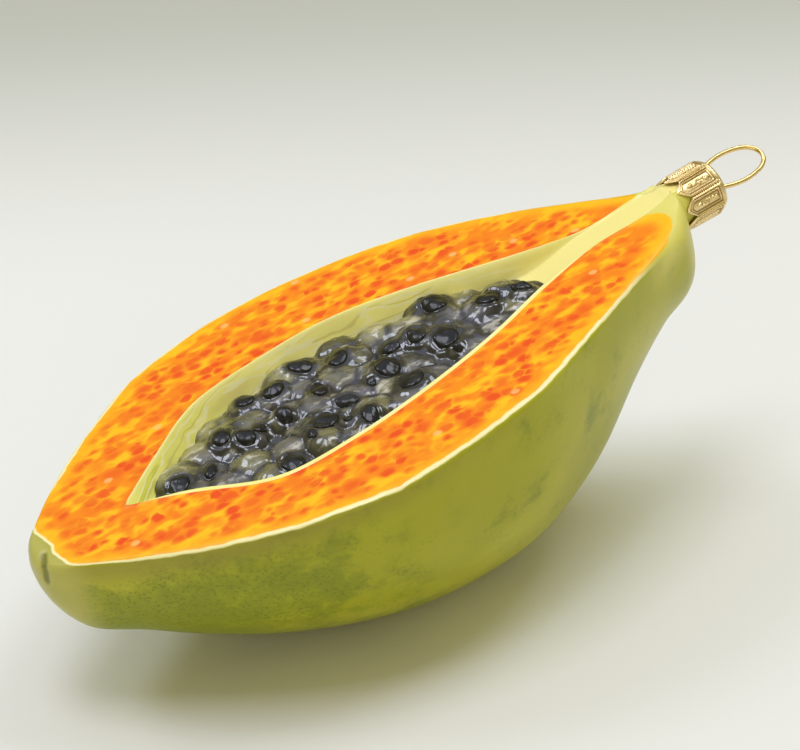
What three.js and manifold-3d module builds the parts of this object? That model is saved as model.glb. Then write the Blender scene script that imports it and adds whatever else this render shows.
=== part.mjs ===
// A blown-glass tree ornament in the shape of half a papaya, lying on its belly with the cut face up.
// Millimetres, +Z up. The fruit's own frame has X from the blossom end to the neck, Y to the far side
// and Z out of the cut face. The whole is then pitched up by restPitch and stands on a small flat spot.
import * as THREE from "three";
import { mergeVertices } from "three/addons/utils/BufferGeometryUtils.js";
import Module from "manifold-3d";

// Sizes that drive the shape
const faceLength = 130;
const restPitch = THREE.MathUtils.degToRad(12);
const glassWall = 0.8;
const bellyExponent = 2.2;
const flatSpotSag = 0.3;
const flatSpotBlock = 60;
const hollowRimRadius = 3.6;
const hollowRimShare = 0.9;

// The fruit's outline at its stations: x, half width to the near side, half width to the far side,
// height of the top, depth of the belly, radius of the rim, and how far the belly's bottom reaches
// forward of the section's top. All are parts of the face's length.
const bodyStations = [
  [-0.034, 0.010, 0.012, -0.032, 0.052, 0.006, 0.000],
  [-0.030, 0.026, 0.032, -0.012, 0.076, 0.022, 0.001],
  [-0.017, 0.043, 0.051, -0.002, 0.110, 0.016, 0.002],
  [0.006, 0.063, 0.073, 0.000, 0.141, 0.010, 0.002],
  [0.060, 0.106, 0.128, 0.000, 0.171, 0.009, 0.000],
  [0.140, 0.166, 0.192, 0.000, 0.222, 0.009, 0.000],
  [0.250, 0.226, 0.260, 0.000, 0.280, 0.009, 0.000],
  [0.380, 0.264, 0.292, 0.000, 0.328, 0.009, 0.000],
  [0.500, 0.260, 0.293, 0.000, 0.355, 0.009, 0.000],
  [0.620, 0.241, 0.272, 0.000, 0.358, 0.009, 0.000],
  [0.740, 0.193, 0.230, 0.000, 0.322, 0.009, 0.000],
  [0.860, 0.141, 0.157, 0.000, 0.231, 0.010, 0.000],
  [0.930, 0.113, 0.103, 0.000, 0.182, 0.014, 0.003],
  [0.980, 0.094, 0.066, 0.002, 0.164, 0.022, 0.007],
  [1.005, 0.076, 0.046, 0.005, 0.146, 0.028, 0.011],
  [1.015, 0.057, 0.035, 0.009, 0.106, 0.030, 0.009],
  [1.021, 0.043, 0.025, 0.011, 0.056, 0.031, 0.000],
  [1.050, 0.042, 0.024, 0.010, 0.055, 0.030, 0.000],
  [1.083, 0.042, 0.024, 0.010, 0.055, 0.030, 0.000],
];

// The seed cavity and the pale channel that runs on to the neck: x, half width to the near side and to
// the far side and depth of the floor, as parts of the face's length.
const cavityStations = [
  [0.110, 0.000, 0.000, 0.010],
  [0.184, 0.038, 0.057, 0.036],
  [0.286, 0.110, 0.124, 0.038],
  [0.400, 0.118, 0.142, 0.038],
  [0.520, 0.106, 0.142, 0.038],
  [0.650, 0.079, 0.106, 0.038],
  [0.780, 0.038, 0.053, 0.030],
  [0.880, 0.021, 0.020, 0.006],
  [0.965, 0.022, 0.020, -0.002],
];
const cavityWallRun = 2.0;
const cavityLip = 0.4;
const cavityWallMostShare = 0.3;
const cavityToolRidge = 4;
const cavityLookupRows = 200;

// The seeds: a bed of rounded domes in staggered rows
const seedPitchX = 5.8;
const seedPitchY = 6.6;
const seedRadius = 3.7;
const seedHeight = 3.0;
const seedJitter = 0.7;
const seedFirstX = 20;
const seedLastX = 103;
const seedEdgeGap = 2.4;
const seedColumns = 4;
const seedDrawStep = 10;
const seedLeastReach = 1;
const seedRadiusSpread = 0.12;
const seedHeightSpread = 0.25;
const seedDraws = { y: 0.37, height: 0.53, radius: 0.71 };

// The neck, the cap and the wire
const neckY = -0.009 * faceLength;
const neckZ = -0.022 * faceLength;
const capMouthX = 1.023 * faceLength;
const capHeight = 9.5;
const capSheet = 0.4;
const capMouthRadius = 5.6;
const capTopRadius = 5.7;
const capEdgeRadius = 0.9;
const capEdgeMiddle = 0.3;
const petalCount = 8;
const petalPoint = 2.2;
const petalPointPower = 1.5;
const petalPointFade = 0.75;
const petalFlatness = 0.5;
const petalGroove = 0.35;
const wireRadius = 0.41;
const wireHoleRadius = 0.78;
const legSpread = 2.2;
const legShift = 0.9;
const legInNeck = 2.5;
const legDepth = 14;
const legEndSpread = 0.3;
const legRise = 0.4;
const legBends = [0.5, 0.25];
const loopLength = 13.4;
const loopHalfWidth = 3.4;
const loopTurn = THREE.MathUtils.degToRad(58);
const loopLean = THREE.MathUtils.degToRad(3);
const petalTurn = THREE.MathUtils.degToRad(-11);

// How finely the surfaces are divided
const bodyDivisions = { along: 50, top: 2, rim: 3, below: 22 };
const hollowDivisions = { along: 30, top: 2, rim: 2, below: 14 };
const cavityDivisions = { along: 76, across: 22 };
const floorDivisions = { along: 16, across: 6 };
const petalColumns = [-1, -0.86, -0.45, 0, 0.45, 0.86];
const wireSides = 8;
const wireSteps = 56;
const holeSides = 12;
const capWallRows = 5;

const wasm = await Module();
wasm.setup();

// A smooth curve through the rows of a table: cubic pieces between rows, with the slope at each row from
// its two neighbours, and the distance between rows as the parameter. Returns rows at equal distances.
function resample(table, count) {
  const rows = table.map((row) => row.map((value) => value * faceLength));
  const knots = [0];
  for (let i = 1; i < rows.length; i += 1) {
    const step = Math.hypot(...rows[i].map((value, k) => value - rows[i - 1][k]));
    knots.push(knots[i - 1] + step);
  }
  const slopes = rows.map((row, i) => {
    const a = Math.max(i - 1, 0);
    const b = Math.min(i + 1, rows.length - 1);
    return row.map((value, k) => (rows[b][k] - rows[a][k]) / (knots[b] - knots[a]));
  });
  const samples = [];
  for (let n = 0; n <= count; n += 1) {
    const distance = (knots.at(-1) * n) / count;
    const i = Math.min(knots.findLastIndex((knot) => knot <= distance), rows.length - 2);
    const span = knots[i + 1] - knots[i];
    const t = (distance - knots[i]) / span;
    const h0 = 2 * t ** 3 - 3 * t ** 2 + 1;
    const h1 = t ** 3 - 2 * t ** 2 + t;
    const h2 = 3 * t ** 2 - 2 * t ** 3;
    const h3 = t ** 3 - t ** 2;
    samples.push(rows[i].map((value, k) => (
      h0 * value + h1 * span * slopes[i][k] + h2 * rows[i + 1][k] + h3 * span * slopes[i + 1][k]
    )));
  }
  return samples;
}

// Joins rings of equal point counts into one closed surface, with a fan over each end.
function loft(rings) {
  const count = rings[0].length;
  const positions = rings.flat().flatMap((point) => point.toArray());
  const indices = [];
  for (let i = 0; i + 1 < rings.length; i += 1) {
    for (let j = 0; j < count; j += 1) {
      const a = i * count + j;
      const b = i * count + ((j + 1) % count);
      indices.push(a, b, a + count, b, b + count, a + count);
    }
  }
  [rings[0], rings.at(-1)].forEach((ring, end) => {
    const centre = positions.length / 3;
    const middle = ring.reduce((sum, point) => sum.add(point), new THREE.Vector3()).divideScalar(count);
    positions.push(...middle.toArray());
    const first = end === 0 ? 0 : (rings.length - 1) * count;
    for (let j = 0; j < count; j += 1) {
      const a = first + j;
      const b = first + ((j + 1) % count);
      indices.push(...(end === 0 ? [centre, b, a] : [centre, a, b]));
    }
  });
  const geometry = new THREE.BufferGeometry();
  geometry.setAttribute("position", new THREE.Float32BufferAttribute(positions, 3));
  geometry.setIndex(indices);
  return geometry;
}

// One section of the fruit: a flat top, a round rim at each side and a superellipse for the belly. The
// section leans forward by reach at its bottom.
function bodyRing([x, near, far, top, depth, rim, reach], divisions) {
  const points = [];
  const rimCentre = top - rim;
  const add = (y, z) => points.push(new THREE.Vector3(x + (reach * (top - z)) / (top + depth), y, z));
  for (let k = 0; k < divisions.top; k += 1) {
    add(THREE.MathUtils.lerp(rim - near, far - rim, k / divisions.top), top);
  }
  for (let k = 0; k < divisions.rim; k += 1) {
    const angle = (Math.PI / 2) * (k / divisions.rim);
    add(far - rim + rim * Math.sin(angle), rimCentre + rim * Math.cos(angle));
  }
  for (let k = 0; k <= divisions.below; k += 1) {
    const angle = Math.PI * (k / divisions.below);
    const side = Math.sign(Math.cos(angle)) * Math.abs(Math.cos(angle)) ** (2 / bellyExponent);
    const fall = Math.sin(angle) ** (2 / bellyExponent);
    add(side * (side > 0 ? far : near), rimCentre - fall * (depth + rimCentre));
  }
  for (let k = 1; k < divisions.rim; k += 1) {
    const angle = (Math.PI / 2) * (1 - k / divisions.rim);
    add(rim - near - rim * Math.sin(angle), rimCentre + rim * Math.cos(angle));
  }
  return points.reverse();
}

function solid(geometry) {
  geometry.deleteAttribute("normal");
  geometry.deleteAttribute("uv");
  const merged = mergeVertices(geometry);
  const mesh = new wasm.Mesh({
    numProp: 3,
    vertProperties: Float32Array.from(merged.attributes.position.array),
    triVerts: Uint32Array.from(merged.index.array),
  });
  return new wasm.Manifold(mesh);
}

function geometryOf(manifold) {
  const mesh = manifold.getMesh();
  const geometry = new THREE.BufferGeometry();
  geometry.setAttribute("position", new THREE.BufferAttribute(mesh.vertProperties, 3));
  geometry.setIndex(new THREE.BufferAttribute(mesh.triVerts, 1));
  geometry.computeVertexNormals();
  return geometry;
}

// The hollow inside the glass: the outline moved in by the wall along its normals, and on past the neck.
function hollowGeometry() {
  const rows = resample(bodyStations, hollowDivisions.along);
  const rings = rows.map(([x, near, far, top, depth, rim, reach]) => {
    const widerRim = Math.max(rim, Math.min(hollowRimRadius, hollowRimShare * far));
    return bodyRing([x, near, far, top, depth, widerRim, reach], hollowDivisions);
  });
  const geometry = loft(rings);
  geometry.computeVertexNormals();
  const { position, normal } = geometry.attributes;
  const count = rings[0].length;
  for (let i = 0; i < position.count; i += 1) {
    const row = Math.floor(i / count);
    const lastRing = row === rings.length - 1 || i === position.count - 1;
    const inwards = new THREE.Vector3().fromBufferAttribute(normal, i).multiplyScalar(-glassWall);
    if (lastRing) {
      inwards.x = 2 * glassWall;
    }
    const point = new THREE.Vector3().fromBufferAttribute(position, i).add(inwards);
    position.setXYZ(i, point.x, point.y, point.z);
  }
  return geometry;
}

// A repeatable draw between -1 and 1
function draw(n) {
  const value = Math.sin(n * 12.9898) * 43758.5453;
  return 2 * (value - Math.floor(value)) - 1;
}

const cavityRows = resample(cavityStations, cavityLookupRows);

function cavityAt(x) {
  const i = cavityRows.findIndex((row) => row[0] >= x);
  return cavityRows[i < 0 ? cavityRows.length - 1 : i];
}

// Seeds in staggered rows across the cavity, each moved and sized a little by the repeatable draw
function placeSeeds() {
  const seeds = [];
  const rows = Math.floor((seedLastX - seedFirstX) / seedPitchX);
  for (let i = 0; i <= rows; i += 1) {
    const x = seedFirstX + i * seedPitchX;
    const [, near, far] = cavityAt(x);
    const middle = (far - near) / 2;
    const reach = (far + near) / 2 - seedEdgeGap;
    for (let j = -seedColumns; j <= seedColumns; j += 1) {
      const offset = (j + 0.5 * (i % 2)) * seedPitchY;
      const n = i * seedDrawStep + j + seedColumns + 1;
      if (Math.abs(offset) < Math.max(reach, seedLeastReach)) {
        seeds.push({
          x: x + seedJitter * draw(n),
          y: middle + offset + seedJitter * draw(n + seedDraws.y),
          radius: seedRadius * (1 + seedRadiusSpread * draw(n + seedDraws.radius)),
          height: seedHeight * (1 + seedHeightSpread * draw(n + seedDraws.height)),
        });
      }
    }
  }
  return seeds;
}

const seeds = placeSeeds();

function seedRise(x, y) {
  return Math.max(0, ...seeds.map((seed) => {
    const distance = Math.hypot(x - seed.x, y - seed.y) / seed.radius;
    return distance < 1 ? seed.height * Math.sqrt(1 - distance ** 2) : 0;
  }));
}

// The cavity as a closed tool: a sloped wall all round, the floor with its seeds, and a ridge above.
// grow makes it larger all round, for the glass that stays under it.
function cavityTool(divisions, grow, withSeeds) {
  const wallWidth = cavityLip + cavityWallRun;
  const rings = resample(cavityStations, divisions.along).map(([x, near, far, depth]) => {
    const ring = [];
    const left = near + cavityLip + grow;
    const right = far + cavityLip + grow;
    const wallShare = Math.min(cavityWallMostShare, wallWidth / (left + right));
    for (let k = 0; k <= divisions.across; k += 1) {
      const inner = THREE.MathUtils.clamp((k - 1) / (divisions.across - 2), 0, 1);
      const floorShare = THREE.MathUtils.lerp(wallShare, 1 - wallShare, inner);
      const share = k === 0 || k === divisions.across ? k / divisions.across : floorShare;
      const y = THREE.MathUtils.lerp(-left, right, share);
      const inside = Math.min(y + left, right - y);
      const wallHeight = ((depth + grow) * (cavityLip - inside)) / cavityWallRun;
      const rise = withSeeds ? seedRise(x, y) : 0;
      ring.push(new THREE.Vector3(x, y, Math.max(wallHeight, -depth - grow + rise)));
    }
    ring.push(new THREE.Vector3(x, (right - left) / 2, cavityToolRidge));
    return ring;
  });
  return loft(rings);
}

const tiltUp = new THREE.Matrix4().makeRotationY(-restPitch);

// The lowest point of the fruit as it lies, in the frame that is pitched but not yet moved
function lowestPoint(geometry) {
  const { position } = geometry.attributes;
  let lowest = new THREE.Vector3(0, 0, Infinity);
  for (let i = 0; i < position.count; i += 1) {
    const point = new THREE.Vector3().fromBufferAttribute(position, i).applyMatrix4(tiltUp);
    lowest = point.z < lowest.z ? point : lowest;
  }
  return lowest;
}

// The blown glass: outline, less the cavity, less the hollow and less what the flat spot takes off.
function bodyGeometry(outline, restPoint) {
  const cavity = solid(cavityTool(cavityDivisions, 0, true));
  const keptGlass = solid(cavityTool(floorDivisions, glassWall, false));
  const hollow = solid(hollowGeometry()).subtract(keptGlass);
  const side = flatSpotBlock;
  const below = new THREE.BoxGeometry(side, side, side);
  below.translate(restPoint.x, 0, restPoint.z - side / 2);
  below.applyMatrix4(tiltUp.clone().invert());
  return geometryOf(solid(outline).subtract(cavity).subtract(hollow).subtract(solid(below)));
}

// A point of the wire's plane, in the cap's own frame: its offset across and its height above the mouth.
function inLoopPlane(offset, height) {
  const across = new THREE.Vector3(-Math.cos(loopTurn), Math.sin(loopTurn), 0);
  const lean = Math.max(0, height - capHeight) * Math.tan(loopLean);
  return across.multiplyScalar(offset + legShift - lean).setZ(height);
}

// The cap with its axis along Z and its mouth at 0. Rows run from the middle of its underside down the
// inside, round the petals' pointed ends, up the outside and over the top. Each petal is a nearly flat
// panel between two grooves.
function capGeometry() {
  const shoulder = capHeight - capEdgeRadius;
  const panelHalf = Math.PI / petalCount;
  const row = (radius, height, relief) => {
    const points = [];
    for (let petal = 0; petal < petalCount; petal += 1) {
      petalColumns.forEach((column) => {
        const angle = (2 * petal + column) * panelHalf + petalTurn;
        const panel = Math.cos(panelHalf) / Math.cos(column * panelHalf);
        const groove = column === -1 ? petalGroove : 0;
        const fade = Math.max(0, 1 - height / (petalPointFade * capHeight));
        const lift = petalPoint * Math.abs(column) ** petalPointPower * fade;
        const r = radius * (1 + petalFlatness * relief * (panel - 1)) - relief * groove;
        points.push(new THREE.Vector3(r * Math.cos(angle), r * Math.sin(angle), height + lift));
      });
    }
    return points;
  };
  const wall = (sheet) => Array.from({ length: capWallRows + 1 }, (_, k) => {
    const share = k / capWallRows;
    return row(THREE.MathUtils.lerp(capMouthRadius, capTopRadius, share) - sheet, shoulder * share, 1);
  });
  const underside = row(capTopRadius - capEdgeRadius - capSheet, capHeight - capSheet, 0);
  const edgeDrop = capEdgeMiddle * capEdgeRadius;
  const edge = row(capTopRadius - edgeDrop, capHeight - edgeDrop, petalFlatness);
  const upperside = row(capTopRadius - capEdgeRadius, capHeight, 0);
  let cap = solid(loft([underside, ...wall(capSheet).reverse(), ...wall(0), edge, upperside]));
  [-legSpread, legSpread].forEach((spread) => {
    const hole = new THREE.CylinderGeometry(wireHoleRadius, wireHoleRadius, 5 * capSheet, holeSides);
    hole.rotateX(Math.PI / 2);
    hole.translate(...inLoopPlane(spread, capHeight).toArray());
    cap = cap.subtract(solid(hole));
  });
  return geometryOf(cap);
}

// The wire as one tube: up one leg, round the oval loop and down the other leg. The legs run close to the
// neck's bore and stand out to the cap's holes, which lie a little to one side of its middle.
function hangerGeometry() {
  const leg = (side) => [
    [side * (legInNeck + legEndSpread) - legShift, capHeight - legDepth],
    ...legBends.map((share) => [side * legInNeck - legShift, capHeight - share * legDepth]),
    [side * legSpread, capHeight - legRise],
    [side * legSpread, capHeight + legRise],
  ];
  const ovalShares = [[0.84, 0.20], [0.98, 0.40], [0.97, 0.62], [0.74, 0.85], [0.38, 0.97]];
  const oval = (side) => ovalShares.map(([across, along]) => (
    [side * across * loopHalfWidth, capHeight + along * loopLength]
  ));
  const half = (side) => [...leg(side), ...oval(side)];
  const outline = [...half(1), [0, capHeight + loopLength], ...half(-1).reverse()];
  const points = outline.map(([offset, height]) => inLoopPlane(offset, height));
  const path = new THREE.CatmullRomCurve3(points, false, "centripetal");
  const section = new THREE.Shape().absarc(0, 0, wireRadius, 0, 2 * Math.PI, false);
  const tube = new THREE.ExtrudeGeometry(section, {
    steps: wireSteps, curveSegments: wireSides / 2, extrudePath: path,
  });
  return geometryOf(solid(tube));
}

function finish(name, geometry, color, roughness, metalness) {
  const mesh = new THREE.Mesh(geometry, new THREE.MeshStandardMaterial({ color, roughness, metalness }));
  mesh.name = name;
  return mesh;
}

const outline = loft(resample(bodyStations, bodyDivisions.along).map((row) => bodyRing(row, bodyDivisions)));
const restPoint = lowestPoint(outline);
restPoint.z += flatSpotSag;

const ornament = new THREE.Group();
const fruit = new THREE.Group();
fruit.rotation.y = -restPitch;
fruit.position.set(-restPoint.x, 0, -restPoint.z);
fruit.add(finish("glass_body", bodyGeometry(outline, restPoint), 0x9fae4e, 0.3, 0));

const neck = new THREE.Group();
neck.position.set(capMouthX, neckY, neckZ);
neck.rotation.y = Math.PI / 2;
neck.add(finish("cap", capGeometry(), 0xc9a45c, 0.35, 1));
neck.add(finish("hanger", hangerGeometry(), 0xbf9a52, 0.3, 1));
fruit.add(neck);
ornament.add(fruit);

export default ornament;
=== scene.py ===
# A blown-glass tree ornament: half a papaya with a gilt cap and a wire loop, lying on a pale floor.
# Shapes are worked out in millimetres in the fruit's own frame: X from the blossom end to the neck,
# Y to the far side, Z out of the cut face. toRow() then lays them into the CAD's frame, in metres.
import math
import bpy
import numpy as np
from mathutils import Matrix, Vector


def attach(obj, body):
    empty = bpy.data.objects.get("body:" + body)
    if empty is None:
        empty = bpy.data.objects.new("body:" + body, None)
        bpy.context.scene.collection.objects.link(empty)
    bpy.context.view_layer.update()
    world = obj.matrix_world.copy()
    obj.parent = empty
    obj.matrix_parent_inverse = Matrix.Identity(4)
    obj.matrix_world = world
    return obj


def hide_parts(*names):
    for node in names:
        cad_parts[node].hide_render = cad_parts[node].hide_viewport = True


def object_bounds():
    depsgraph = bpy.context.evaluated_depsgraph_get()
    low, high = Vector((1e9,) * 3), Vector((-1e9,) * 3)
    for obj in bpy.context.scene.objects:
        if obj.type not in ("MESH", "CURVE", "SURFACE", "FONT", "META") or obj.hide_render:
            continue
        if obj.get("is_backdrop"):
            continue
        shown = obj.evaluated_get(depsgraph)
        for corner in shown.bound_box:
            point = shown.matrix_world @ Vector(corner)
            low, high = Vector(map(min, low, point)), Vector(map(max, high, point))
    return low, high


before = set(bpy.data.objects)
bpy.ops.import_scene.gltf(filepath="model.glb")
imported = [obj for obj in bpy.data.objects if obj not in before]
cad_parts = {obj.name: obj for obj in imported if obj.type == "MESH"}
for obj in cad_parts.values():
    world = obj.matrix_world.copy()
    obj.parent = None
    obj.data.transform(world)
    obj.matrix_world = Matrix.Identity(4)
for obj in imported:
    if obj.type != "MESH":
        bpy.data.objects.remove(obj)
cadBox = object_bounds()
print("stage 1: frame loaded")

# Where the fruit lies: its face length, its pitch, and the point that becomes the origin
fruitPlace = {
    "faceLength": 130.0,
    "pitch": math.radians(12),
    "restX": 66.8947,
    "restZ": -31.5742,
    "floorGap": 0.02,
}


def toRow(points):
    # Turns fruit points by the pitch about Y, moves the rest point to the origin and gives metres
    cosPitch, sinPitch = math.cos(fruitPlace["pitch"]), math.sin(fruitPlace["pitch"])
    x, y, z = points[..., 0], points[..., 1], points[..., 2]
    rowX = x * cosPitch - z * sinPitch - fruitPlace["restX"]
    rowZ = x * sinPitch + z * cosPitch - fruitPlace["restZ"]
    return np.stack([rowX, y, np.maximum(rowZ, fruitPlace["floorGap"])], -1) / 1000


def resample(rows, count):
    # Cubic pieces through the rows of a table, with each slope from the two neighbours and the
    # distance between rows as parameter, read off at equal distances
    rows = np.array(rows, float) * fruitPlace["faceLength"]
    knots = np.concatenate([[0], np.cumsum(np.linalg.norm(np.diff(rows, axis=0), axis=1))])
    last = len(rows) - 1
    row = np.arange(last + 1)
    after, before = np.minimum(row + 1, last), np.maximum(row - 1, 0)
    slopes = (rows[after] - rows[before]) / (knots[after] - knots[before])[:, None]
    distance = np.linspace(0, knots[-1], count)
    i = np.clip(np.searchsorted(knots, distance, side="right") - 1, 0, last - 1)
    span = (knots[i + 1] - knots[i])[:, None]
    t = (distance - knots[i])[:, None] / span
    h0, h1 = 2 * t**3 - 3 * t**2 + 1, t**3 - 2 * t**2 + t
    h2, h3 = 3 * t**2 - 2 * t**3, t**3 - t**2
    return h0 * rows[i] + h1 * span * slopes[i] + h2 * rows[i + 1] + h3 * span * slopes[i + 1]


def smoothStep(low, high, value):
    # 3t squared less 2t cubed, with t the value's share of the way from low to high
    t = np.clip((value - low) / (high - low), 0, 1)
    return t * t * (3 - 2 * t)


# Random values along each side of the noise, and a distance past any on the fruit
noiseCells = 256
farAway = 1e9


def softNoise(u, v, seed):
    # Value noise from -1 to 1: random values on whole numbers, blended smoothly in both directions
    lattice = np.random.default_rng(seed).uniform(-1, 1, (noiseCells, noiseCells))
    i, j = np.floor(u).astype(int), np.floor(v).astype(int)
    s, t = smoothStep(0, 1, u - i), smoothStep(0, 1, v - j)
    corner = lambda a, b: lattice[(i + a) % noiseCells, (j + b) % noiseCells]
    low = corner(0, 0) * (1 - s) + corner(1, 0) * s
    high = corner(0, 1) * (1 - s) + corner(1, 1) * s
    return low * (1 - t) + high * t


def insideDistance(x, y, outline):
    # Distance to the nearest edge of a closed outline, positive inside by the even-odd rule
    nearest = np.full(x.shape, farAway)
    inside = np.zeros(x.shape, bool)
    for (ax, ay), (bx, by) in zip(outline, np.roll(outline, -1, axis=0)):
        length = max((bx - ax) ** 2 + (by - ay) ** 2, 1e-12)
        t = np.clip(((x - ax) * (bx - ax) + (y - ay) * (by - ay)) / length, 0, 1)
        nearest = np.minimum(nearest, np.hypot(x - ax - t * (bx - ax), y - ay - t * (by - ay)))
        if ay != by:
            inside ^= ((ay > y) != (by > y)) & (x < (bx - ax) * (y - ay) / (by - ay) + ax)
    return np.where(inside, nearest, -nearest)


def gridNormals(points):
    # Cross product of the differences along and across the grid, of unit length
    along = np.gradient(points, axis=0)
    across = np.roll(points, -1, axis=1) - np.roll(points, 1, axis=1)
    normal = np.cross(along, across)
    return normal / np.maximum(np.linalg.norm(normal, axis=-1, keepdims=True), 1e-9)


def gridFaces(rings, count, first=0):
    # Quads between each ring and the next, closed round the ring, then a fan over each end
    i, j = np.meshgrid(np.arange(rings - 1), np.arange(count), indexing="ij")
    a, b = first + i * count + j, first + i * count + (j + 1) % count
    quads = np.stack([a, b, b + count, a + count], -1).reshape(-1, 4)
    ring = np.arange(count)
    start, end = first + rings * count, first + rings * count + 1
    lastRing = first + (rings - 1) * count
    fanStart = np.stack([np.full(count, start), first + (ring + 1) % count, first + ring], -1)
    fanEnd = np.stack([np.full(count, end), lastRing + ring, lastRing + (ring + 1) % count], -1)
    return quads, np.concatenate([fanStart, fanEnd])


def tubePiece(name, grids, attributes=None):
    # Makes one object of closed tubes. Each grid is rings by points, and its end rings close on
    # their middle. Faces turn outwards by the sign of the summed triple products of their corners
    vertices, quads, triangles, first = [], [], [], 0
    for grid in grids:
        rings, count = grid.shape[:2]
        ends = np.stack([grid[0].mean(0), grid[-1].mean(0)])
        squares, fans = gridFaces(rings, count, first)
        flat = np.concatenate([grid.reshape(-1, 3), ends])
        a, b, c = (flat[squares[:, k] - first] for k in (0, 1, 2))
        d = flat[squares[:, 3] - first]
        volume = (np.cross(b - a, c - a) * a).sum() + (np.cross(c - a, d - a) * a).sum()
        volume += (np.cross(*(flat[fans[:, k] - first] - flat[fans[:, 0] - first] for k in (1, 2)))
                   * flat[fans[:, 0] - first]).sum()
        turn = slice(None, None, -1) if volume < 0 else slice(None)
        quads.append(squares[:, turn])
        triangles.append(fans[:, turn])
        vertices.append(flat)
        first += len(flat)
    mesh = bpy.data.meshes.new(name)
    faces = np.concatenate(quads).tolist() + np.concatenate(triangles).tolist()
    mesh.from_pydata(toRow(np.concatenate(vertices)).tolist(), [], faces)
    mesh.polygons.foreach_set("use_smooth", np.ones(len(mesh.polygons), bool))
    for key, values in (attributes or {}).items():
        kind, field = ("FLOAT_VECTOR", "vector") if np.ndim(values) > 1 else ("FLOAT", "value")
        data = mesh.attributes.new(key, kind, "POINT").data
        data.foreach_set(field, np.asarray(values, np.float32).ravel())
    mesh.validate()
    piece = bpy.data.objects.new(name, mesh)
    bpy.context.scene.collection.objects.link(piece)
    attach(piece, "root")
    print("  ", name, "has", sum(len(p.vertices) - 2 for p in mesh.polygons), "triangles")
    return piece


def withEnds(values):
    # A grid's values in vertex order, followed by the means of its end rings
    flat = values.reshape(-1, *values.shape[2:])
    return np.concatenate([flat, values[0].mean(0)[None], values[-1].mean(0)[None]])


# Node helpers: a value given to a socket may be a link or a plain number
def feed(tree, socket, value):
    if isinstance(value, bpy.types.NodeSocket):
        tree.links.new(value, socket)
    elif value is not None:
        socket.default_value = value


def addNode(tree, kind, settings, inputs):
    # One node, with its settings set and its inputs fed
    node = tree.nodes.new(kind)
    for key, value in settings.items():
        setattr(node, key, value)
    for key, value in inputs.items():
        feed(tree, node.inputs[key], value)
    return node


def readAttribute(tree, name, output="Fac"):
    # A value stored on the mesh's points
    return addNode(tree, "ShaderNodeAttribute", {"attribute_name": name}, {}).outputs[output]


def stretch(tree, vector, x, y, z):
    # The vector with each of its parts multiplied
    node = addNode(tree, "ShaderNodeVectorMath", {"operation": "MULTIPLY"}, {0: vector})
    node.inputs[1].default_value = (x, y, z)
    return node.outputs[0]


def shift(tree, vector, offset, amount):
    # The vector moved by a noise colour, less its middle value, times the amount
    centred = addNode(tree, "ShaderNodeVectorMath", {"operation": "SUBTRACT"}, {0: offset})
    centred.inputs[1].default_value = (0.5, 0.5, 0.5)
    scaled = stretch(tree, centred.outputs[0], amount, amount, amount)
    added = addNode(tree, "ShaderNodeVectorMath", {"operation": "ADD"}, {0: vector, 1: scaled})
    return added.outputs[0]


def noiseNode(tree, vector, scale, detail=2.0, roughness=0.5, output="Fac"):
    # Layered noise; a larger scale makes it finer
    inputs = {"Vector": vector, "Scale": scale, "Detail": detail, "Roughness": roughness}
    return addNode(tree, "ShaderNodeTexNoise", {}, inputs).outputs[output]


def cellNode(tree, vector, scale, output="Distance", flat=False):
    # Distance to, or colour of, the nearest of a set of random points; flat leaves out the height
    settings = {"feature": "F1", "voronoi_dimensions": "2D" if flat else "3D"}
    inputs = {"Vector": vector, "Scale": scale}
    return addNode(tree, "ShaderNodeTexVoronoi", settings, inputs).outputs[output]


def maths(tree, operation, a, b=None, c=None):
    return addNode(tree, "ShaderNodeMath", {"operation": operation}, {0: a, 1: b, 2: c}).outputs[0]


def times(tree, a, b):
    return maths(tree, "MULTIPLY", a, b)


def splitAxes(tree, vector):
    return addNode(tree, "ShaderNodeSeparateXYZ", {}, {0: vector}).outputs


def ease(tree, value, low, high, start=0.0, end=1.0):
    # From start to end by a smooth step, while the value goes from low to high
    inputs = {"Value": value, "From Min": low, "From Max": high, "To Min": start, "To Max": end}
    settings = {"interpolation_type": "SMOOTHSTEP"}
    return addNode(tree, "ShaderNodeMapRange", settings, inputs).outputs[0]


def blend(tree, factor, a, b):
    # Colour a with colour b over it by the factor
    a, b = (value if isinstance(value, bpy.types.NodeSocket) else (*value, 1) for value in (a, b))
    return addNode(tree, "ShaderNodeMix", {"data_type": "RGBA"}, {0: factor, 6: a, 7: b}).outputs[2]


def startMaterial(name, sockets):
    # A material with the given values on its shader
    material = bpy.data.materials.new(name)
    material.use_nodes = True
    shader = material.node_tree.nodes["Principled BSDF"]
    for socket, value in sockets.items():
        shader.inputs[socket].default_value = value
    return material, material.node_tree, shader


def bumpNode(tree, height, strength, distance):
    # Small relief in the shading only
    inputs = {"Height": height, "Strength": strength, "Distance": distance}
    return addNode(tree, "ShaderNodeBump", {}, inputs).outputs[0]


# The camera stands where the photograph's perspective puts it; lens and sensor in millimetres
cameraView = {
    "place": (-0.17589, -0.29730, 0.22966),
    "turn": (61.383, 3.084, -32.683),
    "lens": 99.0,
    "sensorWidth": 36,
    "clipStart": 0.01,
}
cameraData = bpy.data.cameras.new("studioCamera")
cameraData.lens = cameraView["lens"]
cameraData.sensor_width = cameraView["sensorWidth"]
cameraData.sensor_fit = "HORIZONTAL"
cameraData.clip_start = cameraView["clipStart"]
camera = bpy.data.objects.new("studioCamera", cameraData)
camera.location = cameraView["place"]
camera.rotation_euler = [math.radians(angle) for angle in cameraView["turn"]]
bpy.context.scene.collection.objects.link(camera)
bpy.context.scene.camera = camera
print("stage 2: camera set")

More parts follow.
